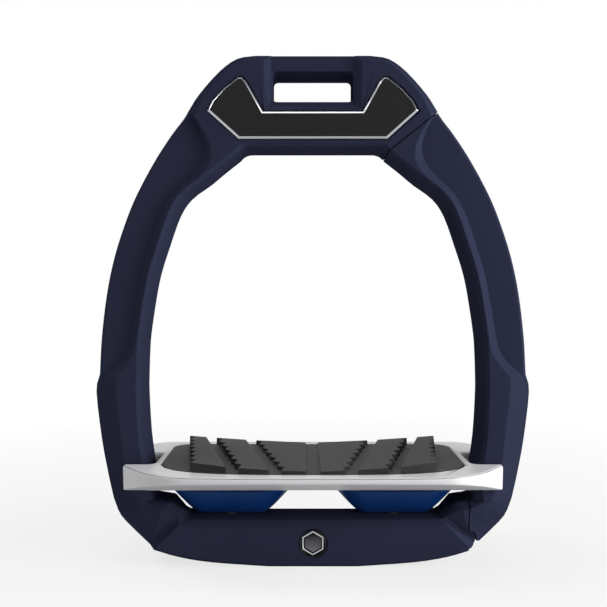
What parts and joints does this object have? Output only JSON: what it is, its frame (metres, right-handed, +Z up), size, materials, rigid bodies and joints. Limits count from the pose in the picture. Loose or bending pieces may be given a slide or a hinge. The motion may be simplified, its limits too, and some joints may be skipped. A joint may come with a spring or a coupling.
{
  "type": "safety stirrup iron",
  "caption": "Faceted safety stirrup iron with an outer branch that swings open, a front plate under the leather slot and a serrated tread on elastomer pads.",
  "frame": {"origin": "under the middle of the base, on the surface that the stirrup stands on", "axes": "+Z up along the branches to the leather slot, +X towards the branch that swings open, -Y towards the front with the face plate"},
  "size_m": [0.1568, 0.0686, 0.1832],
  "materials": {
    "navy_composite": "satin moulded composite",
    "black_gloss": "gloss black with bright bevels",
    "white_tread": "smooth white",
    "grip_black": "matte serrated",
    "blue_elastomer": "satin elastomer",
    "steel": "machined",
    "magnet_nickel": "nickel plated",
    "bush_bronze": "turned",
    "badge_chrome": "polished",
    "badge_dark": "dark gloss"
  },
  "bodies": {
    "frame": {"frame": "navy_composite", "hinge_pin": "steel", "pin_plug": "navy_composite", "catch_magnet": "magnet_nickel", "face_plate": "black_gloss", "plate_magnet_left": "magnet_nickel", "plate_magnet_right": "magnet_nickel", "elastomer_left": "blue_elastomer", "elastomer_right": "blue_elastomer", "guide_bush_left": "bush_bronze", "guide_bush_right": "bush_bronze", "badge_cup": "badge_chrome", "badge_insert": "badge_dark"},
    "tread": {"tread_plate": "white_tread", "grip_pad": "grip_black", "grip_screw_1": "steel", "grip_screw_2": "steel", "grip_screw_3": "steel", "grip_screw_4": "steel", "bolt_washer_left": "steel", "bolt_washer_right": "steel", "tread_bolt_left": "steel", "tread_bolt_right": "steel", "tread_insert_left": "bush_bronze", "tread_insert_right": "bush_bronze"},
    "safety_arm": {"safety_arm": "navy_composite", "catch_keeper": "steel"}
  },
  "joints": [
    {"name": "tread_slide", "type": "slide", "parent": "frame", "child": "tread", "axis": [0, 0, 1], "range_m": [-0.004, 0], "stiffness_N_per_m": 40000, "deforming": ["elastomer_left", "elastomer_right"]},
    {"name": "arm_hinge", "type": "hinge", "parent": "frame", "child": "safety_arm", "pos_m": [0.0558, 0, 0.0094], "axis": [0, 1, 0], "range_deg": [0, 70]}
  ]
}
